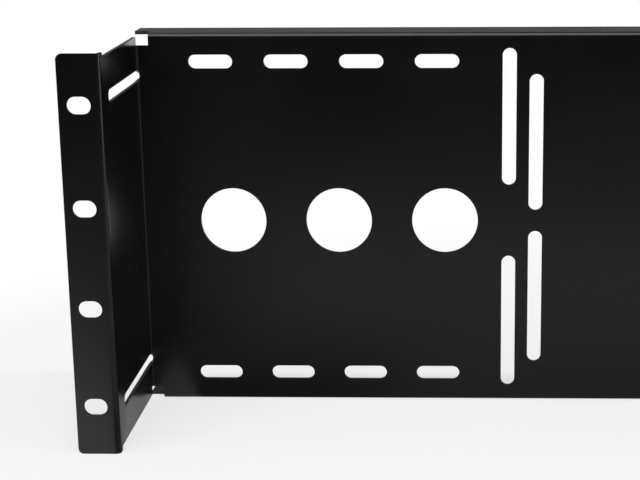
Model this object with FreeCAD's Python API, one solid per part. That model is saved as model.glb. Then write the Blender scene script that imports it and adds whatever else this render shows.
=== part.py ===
import FreeCAD, Part
import os

# Rack monitor mounting bracket: one steel sheet, punched flat and folded at right angles.
# An ear at each side bolts to the front of a rack's rails. A wall runs back from each ear to the
# recessed plate that carries the monitor, and the plate's long edges are folded back as flanges.
# Frame: X across the rack, Y back into the rack, Z up, in millimetres. The origin is on the rails'
# plane, which is the rear face of the ears, in the middle of the rack slots.

# Sheet
sheet = 1.5
bend_radius = 0.8

# Front of the rack
unit_height = 44.45
unit_count = 4
stacking_gap = 0.8
ear_corner_radius = 2.5

# Slots in the ears, one for each rack unit, and the ear on both sides of their middles
rail_spacing = 465.1
rack_slot_length = 10.4
rack_slot_width = 7.6
slot_to_ear_edge = 8.75
slot_to_wall_outside = 8.55

# Depths behind the front of the ears, and of the flanges behind the front of the plate
recess_depth = 80.0
flange_depth = 20.0

# Walls: they keep the ears' height for a short way behind the fold, then their long edges step in
shoulder_depth = 5.0
wall_step = 2.0

# Corner reliefs, where a wall's fold meets a flange's fold
relief_width = 5.5
relief_height = 6.0
relief_depth = 6.0

# Upright slots for the two usual screw patterns on the back of a monitor
monitor_slot_length = 64.0
monitor_slot_width = 6.5
large_pattern = 100.0
large_slot_height = 49.0
small_pattern = 75.0
small_slot_height = 37.0

# Round cable holes in a row across the middle, on each side of the monitor slots
cable_hole_diameter = 31.0
cable_hole_first = 80.0
cable_hole_pitch = 50.0
cable_hole_count = 3

# Level slots in a row along each long edge, on each side of the monitor slots
edge_slot_length = 20.5
edge_slot_width = 6.5
edge_slot_first = 83.5
edge_slot_pitch = 35.0
edge_slot_count = 4
edge_slot_height = 75.0

# Long slots in the walls: they run back through the fold, and their round ends just clear the plate
wall_slot_width = 5.5
wall_slot_height = 68.5
wall_slot_front = 14.0
wall_slot_clear = 0.2

# How far a cutting tool stands out of the sheet
overshoot = 1.0

# Places that follow from the sizes above
panel_top = (unit_height * unit_count - stacking_gap) / 2
panel_edge = rail_spacing / 2 + slot_to_ear_edge
wall_outer = rail_spacing / 2 - slot_to_wall_outside
wall_inner = wall_outer - sheet
wall_top = panel_top - wall_step
ear_front = -sheet
plate_front = ear_front + recess_depth
plate_rear = plate_front + sheet
flange_rear = plate_front + flange_depth
fold_start = plate_front - bend_radius
fold_end = wall_inner - bend_radius
relief_edge = wall_inner - relief_width
relief_level = panel_top - relief_height
tongue_front = plate_front + relief_depth

SIDES = (-1, 1)
RIGHT = FreeCAD.Vector(1, 0, 0)
BACK = FreeCAD.Vector(0, 1, 0)
UP = FreeCAD.Vector(0, 0, 1)


def at(x, y, z):
    return FreeCAD.Vector(x, y, z)


def box_between(low, high):
    return Part.makeBox(high.x - low.x, high.y - low.y, high.z - low.z, low)


def folded_line(corners, radius):
    """Open wire through the corners, with each right-angled corner turned into an arc."""
    edges = []
    start = corners[0]
    for before, corner, after in zip(corners, corners[1:], corners[2:]):
        bend_start = corner + (before - corner).normalize() * radius
        bend_end = corner + (after - corner).normalize() * radius
        centre = bend_start + bend_end - corner
        bend_middle = centre + (corner - centre).normalize() * radius
        edges.append(Part.makeLine(start, bend_start))
        edges.append(Part.Arc(bend_start, bend_middle, bend_end).toShape())
        start = bend_end
    edges.append(Part.makeLine(start, corners[-1]))
    return Part.Wire(edges)


def folded_strip(corners, width):
    """Sheet whose middle line folds at the corners, drawn out along the width vector."""
    middle = folded_line(corners, bend_radius + sheet / 2)
    faces = [middle.makeOffset2D(offset, openResult=True) for offset in (sheet / 2, -sheet / 2)]
    ends = [
        Part.makeLine(*(face.OrderedVertexes[end].Point for face in faces))
        for end in (0, -1)
    ]
    edges = faces[0].Edges + faces[1].Edges + ends
    return Part.Face(Part.Wire(Part.sortEdges(edges)[0])).extrude(width)


def slot_tool(middle, along, length, width, through):
    """Round-ended slot about a middle point, in the direction along, pushed through a sheet."""
    run = along * (length / 2 - width / 2)
    tip = along * (length / 2)
    side = along.cross(through).normalize() * (width / 2)
    outline = [
        Part.makeLine(middle - run + side, middle + run + side),
        Part.Arc(middle + run + side, middle + tip, middle + run - side).toShape(),
        Part.makeLine(middle + run - side, middle - run - side),
        Part.Arc(middle - run - side, middle - tip, middle - run + side).toShape(),
    ]
    return Part.Face(Part.Wire(outline)).extrude(through)


def plate_slot(x, z, along, length, width):
    through = BACK * (sheet + 2 * overshoot)
    return slot_tool(at(x, plate_front - overshoot, z), along, length, width, through)


def hat():
    """Ear, wall, plate, wall and ear: the sheet seen from above, at the ears' full height."""
    ear = ear_front + sheet / 2
    wall = wall_outer - sheet / 2
    plate = plate_front + sheet / 2
    line = [(-panel_edge, ear), (-wall, ear), (-wall, plate), (wall, plate), (wall, ear), (panel_edge, ear)]
    corners = [at(x, y, -panel_top) for x, y in line]
    return folded_strip(corners, UP * (2 * panel_top))


def edge_trims():
    """Tools that step the walls in behind the ears, and clear the plate's edges for the flanges."""
    tools = []
    shoulder = ear_front + shoulder_depth
    clear = wall_outer + overshoot
    beyond = panel_top + overshoot
    for front, rear, level in (
        (shoulder, fold_start, wall_top),
        (fold_start, plate_rear + overshoot, relief_level),
    ):
        tools.append(box_between(at(-clear, front, level), at(clear, rear, beyond)))
        tools.append(box_between(at(-clear, front, -beyond), at(clear, rear, -level)))
    return tools


def flanged_plate():
    """Flange, plate and flange: the sheet seen from the side, between the corner reliefs."""
    plate = plate_front + sheet / 2
    flange = panel_top - sheet / 2
    line = [(flange_rear, flange), (plate, flange), (plate, -flange), (flange_rear, -flange)]
    corners = [at(-relief_edge, y, z) for y, z in line]
    return folded_strip(corners, RIGHT * (2 * relief_edge))


def flange_tongues():
    """Rear strips of the flanges, which reach past the reliefs to the outsides of the walls."""
    strips = []
    for low in (panel_top - sheet, -panel_top):
        corner = at(-wall_outer, tongue_front, low)
        strips.append(box_between(corner, at(wall_outer, flange_rear, low + sheet)))
    return strips


def panel_outline():
    """Block as large as the panel, rounded at the ears' outer corners."""
    corner = at(-panel_edge, ear_front, -panel_top)
    block = box_between(corner, at(panel_edge, flange_rear, panel_top))
    upright = [edge for edge in block.Edges if edge.BoundBox.YLength > sheet]
    return block.makeFillet(ear_corner_radius, upright)


def rack_slots():
    tools = []
    through = BACK * (sheet + 2 * overshoot)
    for unit in range(unit_count):
        height = (unit - (unit_count - 1) / 2) * unit_height
        for side in SIDES:
            middle = at(side * rail_spacing / 2, ear_front - overshoot, height)
            tools.append(slot_tool(middle, RIGHT, rack_slot_length, rack_slot_width, through))
    return tools


def monitor_slots():
    tools = []
    for pattern, height in ((large_pattern, large_slot_height), (small_pattern, small_slot_height)):
        for across in SIDES:
            for up in SIDES:
                x = across * pattern / 2
                tools.append(plate_slot(x, up * height, UP, monitor_slot_length, monitor_slot_width))
    return tools


def cable_holes():
    tools = []
    for step in range(cable_hole_count):
        for side in SIDES:
            x = side * (cable_hole_first + step * cable_hole_pitch)
            start = at(x, plate_front - overshoot, 0)
            tools.append(Part.makeCylinder(cable_hole_diameter / 2, sheet + 2 * overshoot, start, BACK))
    return tools


def edge_slots():
    tools = []
    for step in range(edge_slot_count):
        for across in SIDES:
            x = across * (edge_slot_first + step * edge_slot_pitch)
            for up in SIDES:
                tools.append(plate_slot(x, up * edge_slot_height, RIGHT, edge_slot_length, edge_slot_width))
    return tools


def wall_slots():
    """Slots cut from the outside inwards, to the line on the plate where the fold ends."""
    tools = []
    slot_front = ear_front + wall_slot_front
    slot_rear = plate_rear + wall_slot_clear
    push = wall_outer + overshoot - fold_end
    for across in SIDES:
        for up in SIDES:
            middle = at(across * fold_end, (slot_front + slot_rear) / 2, up * wall_slot_height)
            tools.append(slot_tool(middle, BACK, slot_rear - slot_front, wall_slot_width, RIGHT * across * push))
    return tools


def build_bracket():
    folded = hat().cut(edge_trims())
    folded = folded.fuse([flanged_plate()] + flange_tongues()).removeSplitter()
    folded = folded.common(panel_outline())
    punches = rack_slots() + monitor_slots() + cable_holes() + edge_slots() + wall_slots()
    return folded.cut(punches).removeSplitter().Solids[0]


os.makedirs("parts", exist_ok=True)
bracket = build_bracket()
bracket.exportStep("parts/bracket.step")
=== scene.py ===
import math

import bmesh
import bpy
from mathutils import Matrix, Vector


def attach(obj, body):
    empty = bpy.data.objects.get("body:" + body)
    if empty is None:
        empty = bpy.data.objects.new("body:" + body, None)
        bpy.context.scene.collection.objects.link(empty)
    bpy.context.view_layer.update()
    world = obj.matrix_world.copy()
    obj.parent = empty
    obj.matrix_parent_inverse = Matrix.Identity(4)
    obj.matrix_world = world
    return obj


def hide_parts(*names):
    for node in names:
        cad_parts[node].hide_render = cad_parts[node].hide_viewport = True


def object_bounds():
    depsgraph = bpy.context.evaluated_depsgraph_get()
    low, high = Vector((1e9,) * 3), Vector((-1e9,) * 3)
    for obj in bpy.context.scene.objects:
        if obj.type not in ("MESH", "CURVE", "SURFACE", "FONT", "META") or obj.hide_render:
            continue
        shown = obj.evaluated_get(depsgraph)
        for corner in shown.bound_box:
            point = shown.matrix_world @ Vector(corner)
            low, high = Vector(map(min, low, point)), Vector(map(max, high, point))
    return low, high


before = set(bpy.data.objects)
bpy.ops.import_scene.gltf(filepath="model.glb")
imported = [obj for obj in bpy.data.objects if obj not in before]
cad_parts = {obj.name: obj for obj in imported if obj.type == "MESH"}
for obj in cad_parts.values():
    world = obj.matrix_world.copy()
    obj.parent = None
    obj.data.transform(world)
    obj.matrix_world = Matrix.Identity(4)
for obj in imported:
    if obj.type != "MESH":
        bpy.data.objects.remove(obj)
CAD_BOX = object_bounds()

# A rack monitor mounting bracket: one folded steel sheet with a black satin coating, on a white floor.
# Places are in metres, in the bracket's frame: X across the rack, Y back into the rack, Z up.
MM = 0.001
NOISE_ROUGHNESS = 0.55

# The sheet: merging its triangles, rounding its cut edges and finding the faces between those
WELD = 0.001 * MM
FLAT_SPREAD = math.radians(0.5)
SHARP_EDGE = math.radians(40)
EDGE_ROUND = 0.25 * MM
EDGE_SEGMENTS = 2
CUT_WIDTH = 1.6 * MM
CUT_SHARE = 0.2
ROUNDED_MARK = 1.0
CUT_MARK = 0.9

# The coating: two close blacks in fine specks, gloss that varies in soft clouds, and an orange peel
SPECK_NOISE = {"scale": 2600, "detail": 1}
SPECK_RANGE = (0.35, 0.65)
DARK_SPECK = 0.0011
PALE_SPECK = 0.0019
CLOUD_NOISE = {"scale": 16, "detail": 3}
GLOSS_RANGE = (0.35, 0.68)
GLOSS_ROUGHNESS = (0.21, 0.28)
COATING_INDEX = 1.55
PEEL_NOISE = {"scale": 750, "detail": 1.5}
PEEL_STRENGTH = 0.10
PEEL_HEIGHT = 0.1 * MM

# Thin, duller coating on cut and rounded edges, lighter there as a painted edge highlight
THIN_COATING_AND_EDGE_HIGHLIGHT = 0.03
THIN_AND_HIGHLIGHT_RANGE = (0.3, 0.7)
THIN_AND_HIGHLIGHT_SHARE = (0.25, 0.6)
EDGE_DULLNESS = 0.3

# Fine dust on faces that point up
DUST_NOISE = {"scale": 420, "detail": 4}
DUST_RANGE = (0.52, 0.74)
DUST_SHARE = 0.10
DUST_SLOPE = (0.6, 0.95)
DUST_COLOUR = (0.20, 0.195, 0.185, 1)

# The floor's paper
FLOOR_HALF = 6.0
FIBRE_NOISE = {"scale": 300, "detail": 3}
FIBRE_RANGE = (0.3, 0.7)
DARK_FIBRE = 0.84
PALE_FIBRE = 0.86
PAPER_ROUGHNESS = 0.9

# The floor to the camera: white with distance and behind the plate, with a faint shadow near the bracket
FADE_DISTANCE = (0.29, 0.50)
NEAR_WHITE = 0.65
REAR_DEPTH = (0.085, 0.125)
REAR_WHITE = 0.8

# The floor in reflections: white as the backdrop behind the bracket and, less, on both sides of it
BACKDROP_DEPTH = (0.1, 0.5)
ASIDE_DISTANCE = (0.28, 0.45)
ASIDE_DEPTH = (-0.3, -0.1)
ASIDE_WHITE = 0.6

# The floor in reflections: a painted pool of light in front of the ears, darker towards the room
LIT_REACH = 0.215

# The painted shadow between the walls, in reflections: wider ahead of the ears, narrower towards the plate
SHADE_EDGE = (0.2225, 0.2265)
SHADE_WIDENING = 0.2
SHADE_NARROWING = 0.32

# How deep that painted shadow is: deepest by the plate's ends and, ahead of the recess, in line with the
# walls
SHADE_DEPTH = (-0.10, 0.06)
SHADE_FRONT = 0.42
PLATE_PART = (0.07, 0.14)
PLATE_SHADE = (0.38, 0.18)
WALL_PART = (0.16, 0.222)
WALL_SHADE = 0.15
RECESS_DEPTH = (-0.05, 0.0)

# The room: its even light, what the coating sees of it, and the backdrop by its direction's Y and Z
ROOM_LIGHT = 0.17
ROOM_MIRRORED = 0.05
BACKDROP_TURN = (-0.2, 0.5)
BACKDROP_RISE = (-0.05, 0.12)
BACKDROP_TOP = 0.05

# The photographed view: a camera in front of the bracket's left half, a little above its top
IMAGE_WIDTH = 640
IMAGE_HEIGHT = 480
SENSOR_WIDTH = 36.0
FOCAL_PIXELS = 1748.9
VIEW_CENTRE = (416, 310)
CAMERA_PLACE = (-64.93 * MM, -728.26 * MM, 176.39 * MM)
CAMERA_PITCH = math.radians(15.254)
CAMERA_YAW = math.radians(-2.06)
CAMERA_ROLL = math.radians(0.39)
CLIP_START = 0.01
CLIP_END = 20


class Nodes:
    """Adds nodes to a node tree and links sockets by name."""

    def __init__(self, owner):
        owner.use_nodes = True
        self.tree = owner.node_tree

    def named(self, name):
        return self.tree.nodes[name]

    def add(self, kind, **settings):
        node = self.tree.nodes.new(kind)
        for name, value in settings.items():
            setattr(node, name, value)
        return node

    def put(self, socket, value):
        """Links an input socket to an output, or sets its value."""
        if isinstance(value, bpy.types.NodeSocket):
            self.tree.links.new(value, socket)
        else:
            socket.default_value = value

    def feed(self, node, **sockets):
        """Puts values into input sockets, named with underscores for spaces."""
        for name, value in sockets.items():
            self.put(node.inputs[name.replace("_", " ")], value)
        return node

    def noise(self, place, scale, detail):
        node = self.add("ShaderNodeTexNoise")
        self.feed(node, Vector=place, Scale=scale, Detail=detail, Roughness=NOISE_ROUGHNESS)
        return node.outputs["Fac"]

    def spread(self, value, source, target):
        """Maps a range of values smoothly to another range."""
        node = self.add("ShaderNodeMapRange", interpolation_type="SMOOTHSTEP")
        self.feed(node, Value=value, From_Min=source[0], From_Max=source[1])
        self.feed(node, To_Min=target[0], To_Max=target[1])
        return node.outputs["Result"]

    def math(self, operation, first, second=0.0):
        node = self.add("ShaderNodeMath", operation=operation)
        for socket, value in zip(node.inputs, (first, second)):
            self.put(socket, value)
        return node.outputs["Value"]

    def blend(self, share, first, second):
        """Mixes two colours."""
        node = self.add("ShaderNodeMix", data_type="RGBA")
        for index, value in ((0, share), (6, first), (7, second)):
            self.put(node.inputs[index], value)
        return node.outputs[2]

    def axes(self, vector):
        return self.feed(self.add("ShaderNodeSeparateXYZ"), Vector=vector).outputs

    def rays(self):
        """Whether a ray comes from the camera, and whether off a gloss or through glass."""
        path = self.add("ShaderNodeLightPath").outputs
        mirrored = self.math("MAXIMUM", path["Is Glossy Ray"], path["Is Transmission Ray"])
        return path["Is Camera Ray"], mirrored


def grey(value):
    return (value, value, value, 1)


def coated_steel():
    """Black satin powder coating: a fine orange peel, uneven gloss, dust on top, thinner on the edges and
    lighter there as a painted edge highlight.
    """
    material = bpy.data.materials.new("black_coating")
    nodes = Nodes(material)
    coordinates = nodes.add("ShaderNodeTexCoord").outputs
    place = coordinates["Object"]

    peel = nodes.noise(place, **PEEL_NOISE)
    bump = nodes.feed(nodes.add("ShaderNodeBump"), Strength=PEEL_STRENGTH, Distance=PEEL_HEIGHT, Height=peel)

    specks = nodes.spread(nodes.noise(place, **SPECK_NOISE), SPECK_RANGE, (0, 1))
    coating = nodes.blend(specks, grey(DARK_SPECK), grey(PALE_SPECK))

    upward = nodes.spread(nodes.axes(coordinates["Normal"])["Z"], DUST_SLOPE, (0, 1))
    settled = nodes.spread(nodes.noise(place, **DUST_NOISE), DUST_RANGE, (0, DUST_SHARE))
    dusty = nodes.blend(nodes.math("MULTIPLY", upward, settled), coating, DUST_COLOUR)

    cloud = nodes.noise(place, **CLOUD_NOISE)
    rim = nodes.add("ShaderNodeAttribute", attribute_name="rim").outputs["Fac"]
    # Cut and rounded edges turn a lighter grey: a thinner coating there, and a painted edge highlight
    thin_edge_and_highlight = nodes.math("MULTIPLY", rim, nodes.spread(cloud, THIN_AND_HIGHLIGHT_RANGE, THIN_AND_HIGHLIGHT_SHARE))
    colour = nodes.blend(thin_edge_and_highlight, dusty, grey(THIN_COATING_AND_EDGE_HIGHLIGHT))
    handled = nodes.spread(cloud, GLOSS_RANGE, GLOSS_ROUGHNESS)
    dull = nodes.math("ADD", handled, nodes.math("MULTIPLY", rim, EDGE_DULLNESS))

    surface = nodes.named("Principled BSDF")
    nodes.feed(surface, Base_Color=colour, Roughness=dull, IOR=COATING_INDEX, Normal=bump.outputs["Normal"])
    return material


def is_cut_face(face, rim):
    """Whether a face is part of the sheet's cut edge: narrow, with rounded edges beside it."""
    outline = sum(edge.calc_length() for edge in face.edges)
    beside_rounding = sum(
        edge.calc_length() for edge in face.edges
        if any(other[rim] == ROUNDED_MARK for other in edge.link_faces)
    )
    narrow = 2 * face.calc_area() / outline < CUT_WIDTH
    return face[rim] == 0.0 and narrow and beside_rounding > CUT_SHARE * outline


def bracket_sheet():
    """The folded sheet, welded from the frame's triangles and rounded along its cut edges."""
    shape = bmesh.new()
    shape.from_mesh(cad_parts["bracket"].data)
    bmesh.ops.remove_doubles(shape, verts=shape.verts, dist=WELD)
    bmesh.ops.dissolve_limit(shape, angle_limit=FLAT_SPREAD, verts=shape.verts, edges=shape.edges)
    rim = shape.faces.layers.float.new("rim")
    cut_edges = [edge for edge in shape.edges if edge.calc_face_angle(0) > SHARP_EDGE]
    rounded = bmesh.ops.bevel(
        shape, geom=cut_edges, offset=EDGE_ROUND, offset_type="OFFSET", segments=EDGE_SEGMENTS,
        profile=0.5, affect="EDGES", clamp_overlap=True, material=-1,
    )
    for face in rounded["faces"]:
        face[rim] = ROUNDED_MARK
    for face in shape.faces:
        face.smooth = True
        if is_cut_face(face, rim):
            face[rim] = CUT_MARK
    mesh = bpy.data.meshes.new("bracket_sheet")
    shape.to_mesh(mesh)
    shape.free()
    piece = bpy.data.objects.new("bracket_sheet", mesh)
    bpy.context.scene.collection.objects.link(piece)
    piece.modifiers.new("flat_faces_stay_flat", "WEIGHTED_NORMAL")
    mesh.materials.append(coated_steel())
    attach(piece, "root")
    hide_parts("bracket")


def painted_floor_light(nodes, across, depth):
    """How bright the coating sees the paper, as painted light and shade: lit in front of the ears, painted
    shade in front of the plate.
    """
    # A painted pool of light that falls off towards the room
    ahead = nodes.math("DIVIDE", nodes.math("MINIMUM", depth, 0.0), LIT_REACH)
    falloff = nodes.math("DIVIDE", 1.0, nodes.math("ADD", nodes.math("MULTIPLY", ahead, ahead), 1.0))

    # Painted shadow in front of the plate and along the walls' lines
    by_plate = nodes.spread(across, PLATE_PART, PLATE_SHADE)
    shade = nodes.math("MINIMUM", falloff, nodes.spread(depth, SHADE_DEPTH, (SHADE_FRONT, by_plate)))

    widening = nodes.math("MULTIPLY", depth, SHADE_WIDENING)
    narrowing = nodes.math("MULTIPLY", depth, SHADE_NARROWING)
    slant = nodes.math("ADD", across, nodes.math("MAXIMUM", widening, narrowing))
    by_wall = nodes.spread(slant, WALL_PART, (1, WALL_SHADE))
    within = nodes.spread(depth, RECESS_DEPTH, (0, 1))
    between_walls = nodes.math("MULTIPLY", shade, nodes.math("MAXIMUM", by_wall, within))
    return nodes.spread(slant, SHADE_EDGE, (between_walls, falloff))


def floor_paper():
    """Pale paper: nearly white to the camera, and in reflections with painted light and shade around the
    bracket.
    """
    material = bpy.data.materials.new("floor_paper")
    nodes = Nodes(material)
    place = nodes.add("ShaderNodeTexCoord").outputs["Object"]
    length = nodes.feed(nodes.add("ShaderNodeVectorMath", operation="LENGTH"), Vector=place)
    distance = length.outputs["Value"]
    axes = nodes.axes(place)
    across = nodes.math("ABSOLUTE", axes["X"])
    depth = axes["Y"]
    camera_ray, mirrored = nodes.rays()

    fibres = nodes.spread(nodes.noise(place, **FIBRE_NOISE), FIBRE_RANGE, (0, 1))
    paper = nodes.blend(fibres, grey(DARK_FIBRE), grey(PALE_FIBRE))
    # The paper's colour in reflections carries the painted light and shade
    reflected = nodes.blend(painted_floor_light(nodes, across, depth), grey(0), paper)
    surface = nodes.named("Principled BSDF")
    nodes.feed(surface, Base_Color=nodes.blend(camera_ray, reflected, paper), Roughness=PAPER_ROUGHNESS)

    far = nodes.spread(distance, FADE_DISTANCE, (NEAR_WHITE, 1))
    rear = nodes.spread(depth, REAR_DEPTH, (0, REAR_WHITE))
    seen_white = nodes.math("MULTIPLY", camera_ray, nodes.math("MAXIMUM", far, rear))
    behind = nodes.spread(depth, BACKDROP_DEPTH, (0, 1))
    aside = nodes.spread(across, ASIDE_DISTANCE, (0, ASIDE_WHITE))
    beside = nodes.math("MULTIPLY", aside, nodes.spread(depth, ASIDE_DEPTH, (0, 1)))
    reflected_white = nodes.math("MULTIPLY", mirrored, nodes.math("MAXIMUM", behind, beside))

    white = nodes.feed(nodes.add("ShaderNodeEmission"), Color=grey(1), Strength=1)
    whitened = nodes.add("ShaderNodeMixShader")
    nodes.put(whitened.inputs[0], nodes.math("MAXIMUM", seen_white, reflected_white))
    nodes.put(whitened.inputs[1], surface.outputs["BSDF"])
    nodes.put(whitened.inputs[2], white.outputs["Emission"])
    nodes.feed(nodes.named("Material Output"), Surface=whitened.outputs["Shader"])
    return material


def floor():
    shape = bmesh.new()
    bmesh.ops.create_grid(shape, x_segments=1, y_segments=1, size=FLOOR_HALF)
    bmesh.ops.translate(shape, verts=shape.verts, vec=(0, 0, CAD_BOX[0].z))
    mesh = bpy.data.meshes.new("floor")
    shape.to_mesh(mesh)
    shape.free()
    piece = bpy.data.objects.new("floor", mesh)
    bpy.context.scene.collection.objects.link(piece)
    mesh.materials.append(floor_paper())


def softbox(name, place, aim, width, depth, power):
    lamp = bpy.data.lights.new(name, "AREA")
    lamp.shape = "RECTANGLE"
    lamp.size = width
    lamp.size_y = depth
    lamp.energy = power
    holder = bpy.data.objects.new(name, lamp)
    holder.location = place
    holder.rotation_mode = "QUATERNION"
    holder.rotation_quaternion = (Vector(aim) - Vector(place)).to_track_quat("-Z", "Y")
    holder.visible_camera = False
    bpy.context.scene.collection.objects.link(holder)


def room():
    """A dim room: white to the camera, and in reflections with a white backdrop low behind the bracket."""
    world = bpy.data.worlds.new("studio")
    bpy.context.scene.world = world
    nodes = Nodes(world)
    direction = nodes.axes(nodes.add("ShaderNodeTexCoord").outputs["Generated"])
    camera_ray, mirrored = nodes.rays()
    behind = nodes.spread(direction["Y"], BACKDROP_TURN, (0, 1))
    low = nodes.spread(direction["Z"], BACKDROP_RISE, (1, BACKDROP_TOP))
    backdrop = nodes.math("MULTIPLY", nodes.math("MULTIPLY", behind, low), mirrored)
    dim = nodes.blend(mirrored, grey(ROOM_LIGHT), grey(ROOM_MIRRORED))
    shown = nodes.blend(nodes.math("MAXIMUM", camera_ray, backdrop), dim, grey(1))
    nodes.feed(nodes.named("Background"), Color=shown, Strength=1)


def lamps():
    """Softboxes in front, at the right and behind, and a low card at the right, aimed at the left wall."""
    softbox("front", place=(-0.25, -0.75, 1.0), aim=(-0.05, -0.05, 0), width=2.0, depth=1.2, power=19)
    softbox("right", place=(1.0, -0.45, 0.65), aim=(0, 0, 0), width=1.0, depth=1.0, power=5.5)
    softbox("back", place=(0, 0.80, 1.0), aim=(0, 0.10, 0), width=1.6, depth=1.0, power=3)
    softbox("low_card", place=(0.75, -0.065, 0.02), aim=(-0.22, 0, 0.02), width=0.15, depth=0.22, power=0.5)


def camera():
    lens = bpy.data.cameras.new("camera")
    lens.sensor_width = SENSOR_WIDTH
    lens.lens = FOCAL_PIXELS / IMAGE_WIDTH * SENSOR_WIDTH
    lens.shift_x = (IMAGE_WIDTH / 2 - VIEW_CENTRE[0]) / IMAGE_WIDTH
    lens.shift_y = (VIEW_CENTRE[1] - IMAGE_HEIGHT / 2) / IMAGE_WIDTH
    lens.clip_start = CLIP_START
    lens.clip_end = CLIP_END
    holder = bpy.data.objects.new("camera", lens)
    turn = Matrix.Rotation(-CAMERA_YAW, 4, "Z")
    turn = turn @ Matrix.Rotation(math.pi / 2 - CAMERA_PITCH, 4, "X")
    turn = turn @ Matrix.Rotation(-CAMERA_ROLL, 4, "Z")
    holder.matrix_world = Matrix.Translation(CAMERA_PLACE) @ turn
    bpy.context.scene.collection.objects.link(holder)
    bpy.context.scene.camera = holder


bracket_sheet()
floor()
room()
lamps()
camera()
bpy.context.scene.view_settings.view_transform = "Standard"
